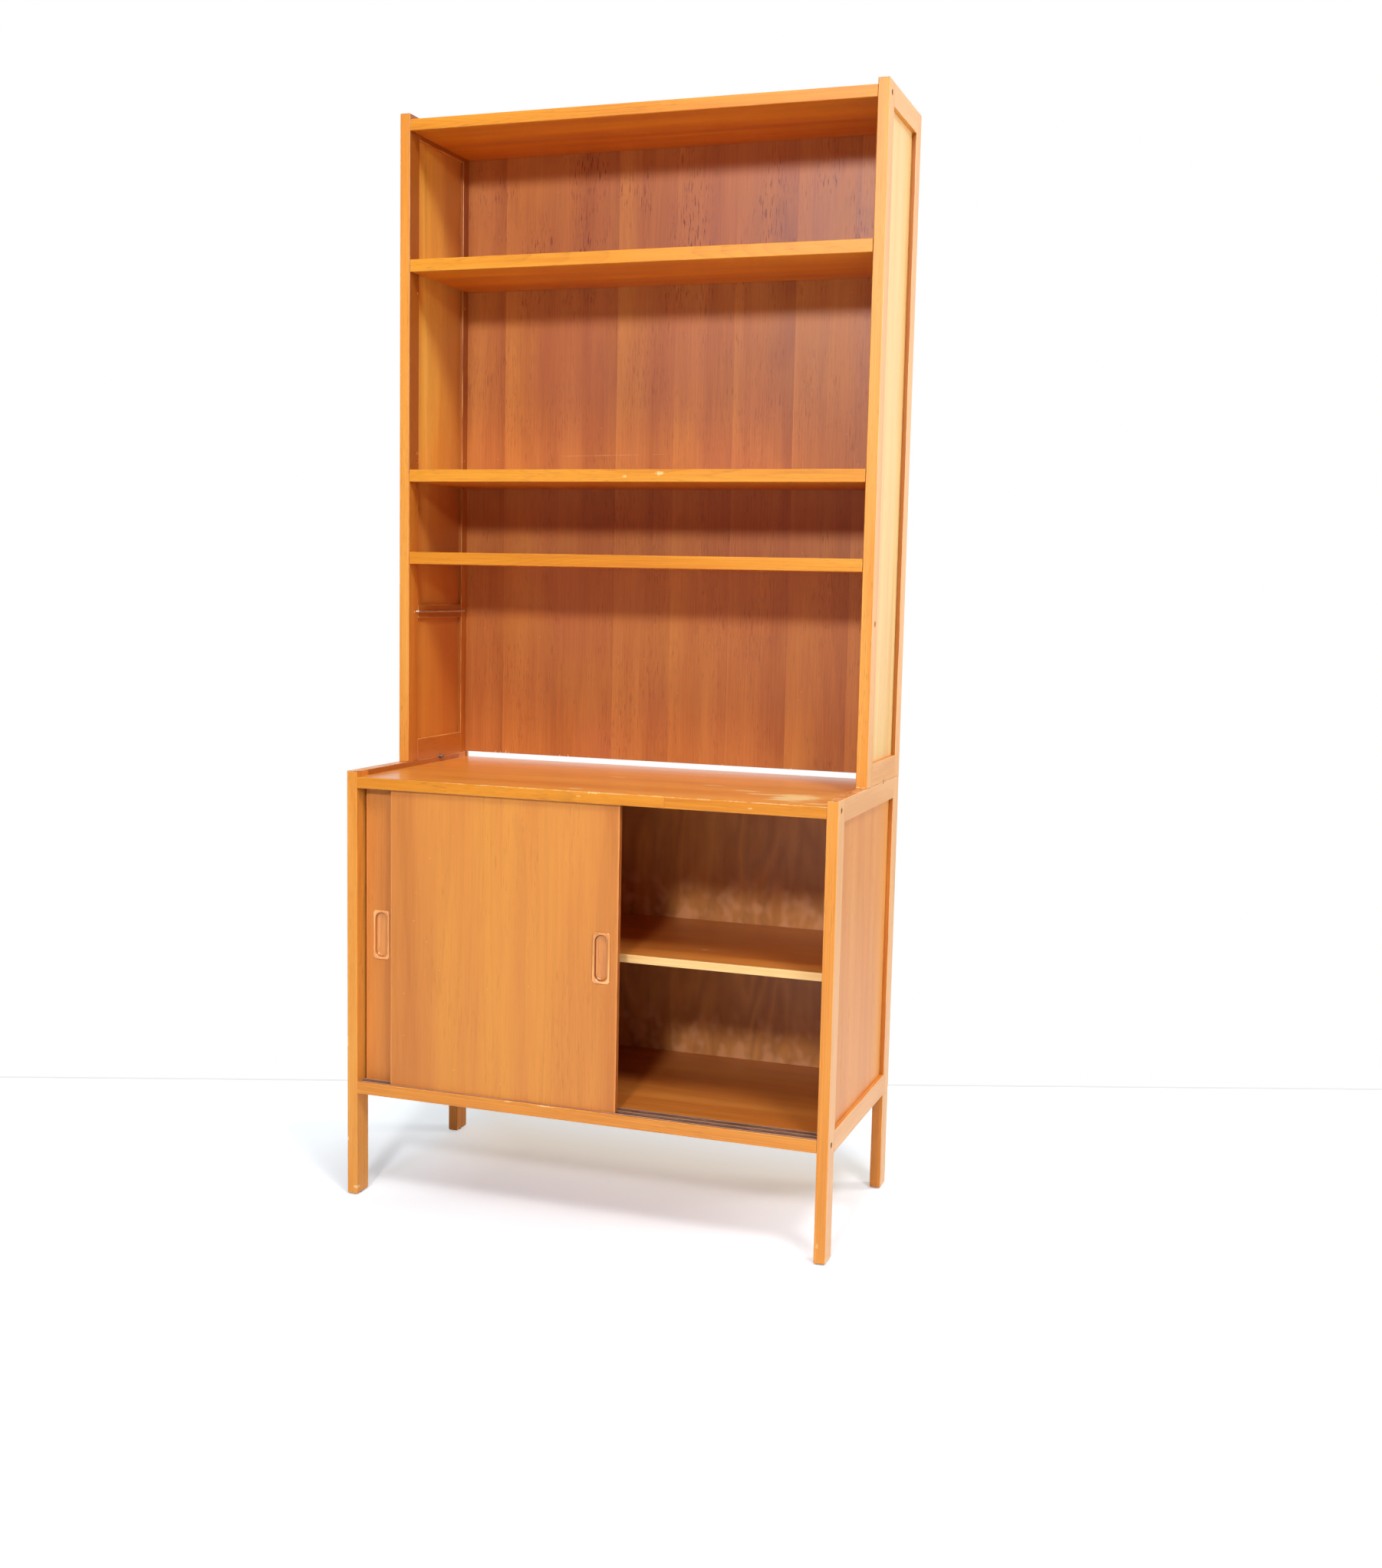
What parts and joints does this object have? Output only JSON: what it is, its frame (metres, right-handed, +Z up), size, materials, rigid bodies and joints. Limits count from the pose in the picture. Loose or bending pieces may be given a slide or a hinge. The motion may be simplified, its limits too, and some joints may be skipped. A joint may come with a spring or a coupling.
{
  "type": "bookcase with base cabinet",
  "caption": "Tall shallow bookcase with a back and adjustable shelves on bent wires, standing at the rear of a deeper legged cabinet with overlapping sliding doors.",
  "frame": {"origin": "on the floor under the middle of the base cabinet's footprint", "axes": "+X to the object's right seen from the front, +Y towards the back, +Z up"},
  "size_m": [0.9, 0.44, 1.95],
  "materials": {
    "solid_teak": "oiled satin",
    "teak_veneer": "oiled satin",
    "back_veneer": "matt",
    "plywood": "matt",
    "bright_steel": "drawn wire",
    "dark_steel": "blackened",
    "track_plastic": "satin"
  },
  "bodies": {
    "carcass": {"bare_wire_left": "bright_steel", "bare_wire_right": "bright_steel", "base_back_panel": "plywood", "base_bottom_board": "teak_veneer", "base_bottom_bolt_left": "dark_steel", "base_bottom_bolt_right": "dark_steel", "base_left_back_leg": "solid_teak", "base_left_bottom_rail": "solid_teak", "base_left_front_leg": "solid_teak", "base_left_panel": "teak_veneer", "base_left_shelf_bearer": "solid_teak", "base_left_top_rail": "solid_teak", "base_right_back_leg": "solid_teak", "base_right_bottom_rail": "solid_teak", "base_right_front_leg": "solid_teak", "base_right_panel": "teak_veneer", "base_right_shelf_bearer": "solid_teak", "base_right_top_rail": "solid_teak", "base_top_board": "teak_veneer", "base_top_bolt_left": "dark_steel", "base_top_bolt_right": "dark_steel", "base_top_lipping": "solid_teak", "inner_shelf": "plywood", "locating_pin_left": "bright_steel", "locating_pin_right": "bright_steel", "lower_door_track": "track_plastic", "lower_wire_left": "bright_steel", "lower_wire_right": "bright_steel", "middle_wire_left": "bright_steel", "middle_wire_right": "bright_steel", "top_wire_left": "bright_steel", "top_wire_right": "bright_steel", "upper_back_panel": "back_veneer", "upper_bolt_left": "dark_steel", "upper_bolt_right": "dark_steel", "upper_door_track": "track_plastic", "upper_left_back_stile": "solid_teak", "upper_left_bottom_rail": "solid_teak", "upper_left_front_stile": "solid_teak", "upper_left_mid_rail": "solid_teak", "upper_left_panel": "teak_veneer", "upper_left_top_rail": "solid_teak", "upper_right_back_stile": "solid_teak", "upper_right_bottom_rail": "solid_teak", "upper_right_front_stile": "solid_teak", "upper_right_mid_rail": "solid_teak", "upper_right_panel": "teak_veneer", "upper_right_top_rail": "solid_teak", "upper_top_board": "teak_veneer", "upper_top_lipping": "solid_teak"},
    "lower_shelf": {"lower_shelf_board": "teak_veneer", "lower_shelf_lipping": "solid_teak"},
    "middle_shelf": {"middle_shelf_board": "teak_veneer", "middle_shelf_lipping": "solid_teak"},
    "top_shelf": {"top_shelf_board": "teak_veneer", "top_shelf_lipping": "solid_teak"},
    "front_door": {"front_door_panel": "teak_veneer", "front_door_pull": "solid_teak"},
    "rear_door": {"rear_door_panel": "teak_veneer", "rear_door_pull": "solid_teak"}
  },
  "joints": [
    {"name": "front_door_slide", "type": "slide", "parent": "carcass", "child": "front_door", "axis": [1, 0, 0], "range_m": [-0.0632, 0.3607]},
    {"name": "rear_door_slide", "type": "slide", "parent": "carcass", "child": "rear_door", "axis": [1, 0, 0], "range_m": [-0.0047, 0.4192]},
    {"name": "lower_shelf_slide", "type": "slide", "parent": "carcass", "child": "lower_shelf", "axis": [0, -1, 0], "range_m": [0, 0.12]},
    {"name": "middle_shelf_slide", "type": "slide", "parent": "carcass", "child": "middle_shelf", "axis": [0, -1, 0], "range_m": [0, 0.12]},
    {"name": "top_shelf_slide", "type": "slide", "parent": "carcass", "child": "top_shelf", "axis": [0, -1, 0], "range_m": [0, 0.12]}
  ]
}
